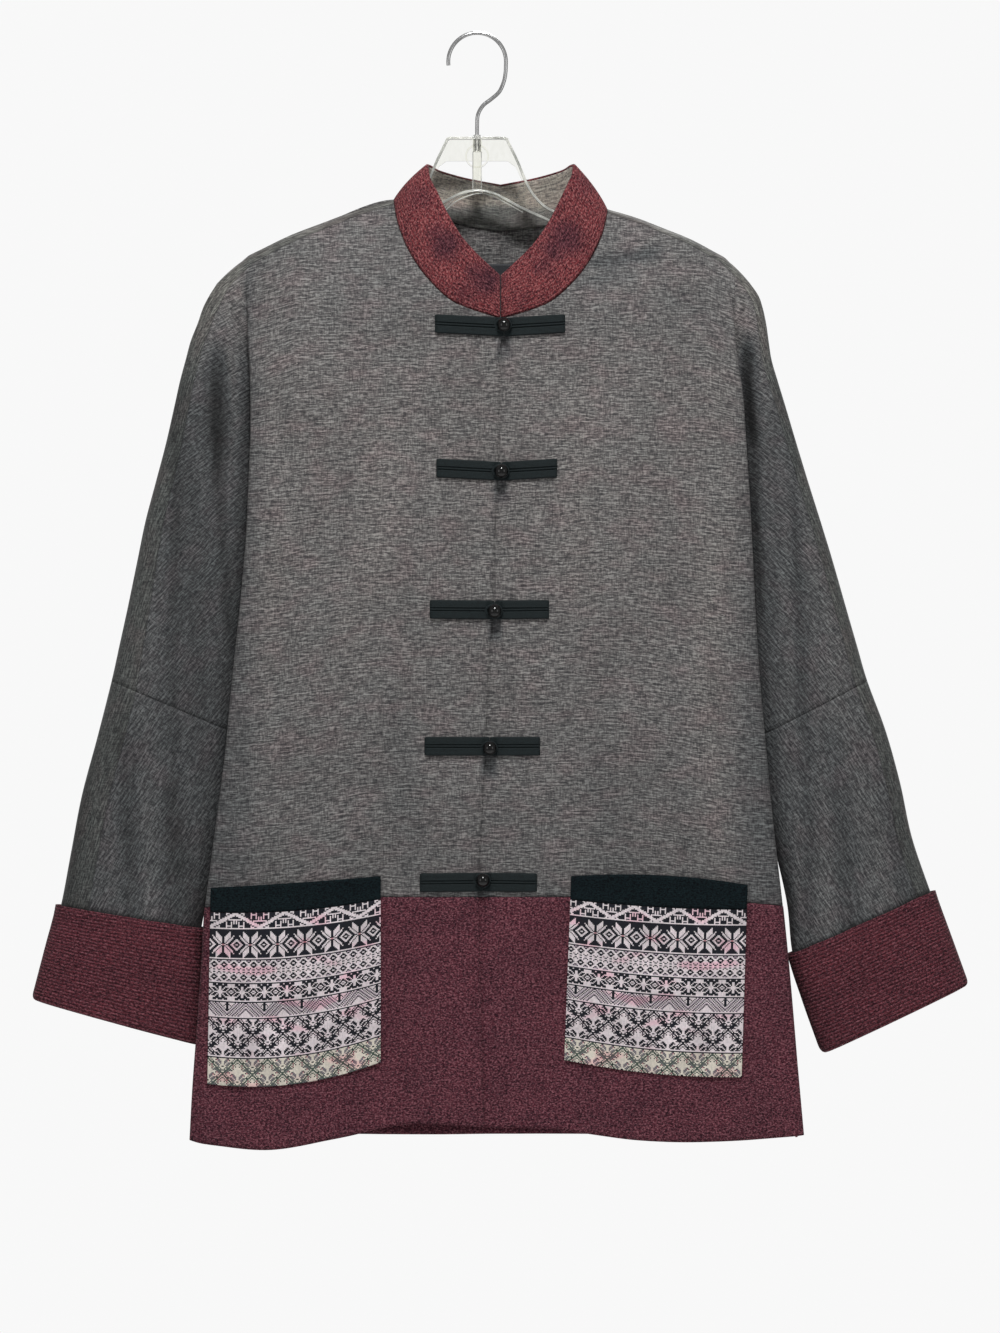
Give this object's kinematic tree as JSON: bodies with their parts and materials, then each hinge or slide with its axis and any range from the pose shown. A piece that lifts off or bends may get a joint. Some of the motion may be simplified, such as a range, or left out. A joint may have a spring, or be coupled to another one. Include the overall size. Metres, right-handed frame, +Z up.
{
  "type": "embroidered silk jacket on a hanger",
  "caption": "Stand-collar silk jacket with cut-on sleeves, frog closures, turned-back cuffs, a deep hem band and patch pockets, hanging on a clear dress hanger.",
  "frame": {"origin": "inside top of the hanger's hook, where the rail carries it", "axes": "+Z up, the jacket's front faces -Y, the wearer's left is at +X"},
  "size_m": [0.7994, 0.0909, 0.9528],
  "materials": {
    "silk": "slubby horizontally striped silk in grey and taupe",
    "burgundy": "heathered burgundy cloth with a fine crosswise rib",
    "collar": "heathered burgundy cloth with darker tonal patches",
    "facing": "plain grey silk facing",
    "brocade": "woven geometric brocade in rows",
    "band": "black woven band",
    "cord": "black doubled cord",
    "button": "polished black ball",
    "label": "plain dark woven tab",
    "clear_plastic": "clear moulded plastic",
    "wire": "bright plated wire"
  },
  "bodies": {
    "root": {"front_right": "silk", "front_left": "silk", "back": "silk", "sleeve_lower_right": "silk", "sleeve_lower_left": "silk", "cuff_right": "burgundy", "cuff_left": "burgundy", "hem_front_right": "burgundy", "hem_front_left": "burgundy", "hem_back": "burgundy", "collar_outer": "collar", "collar_facing": "facing", "pocket_right": "brocade", "pocket_left": "brocade", "pocket_band_right": "band", "pocket_band_left": "band", "frog_loop_1": "cord", "frog_loop_2": "cord", "frog_loop_3": "cord", "frog_loop_4": "cord", "frog_loop_5": "cord", "frog_strap_1": "cord", "frog_strap_2": "cord", "frog_strap_3": "cord", "frog_strap_4": "cord", "frog_strap_5": "cord", "button_1": "button", "button_2": "button", "button_3": "button", "button_4": "button", "button_5": "button", "neck_label": "label", "hanger": "clear_plastic", "hook": "wire"}
  },
  "joints": []
}
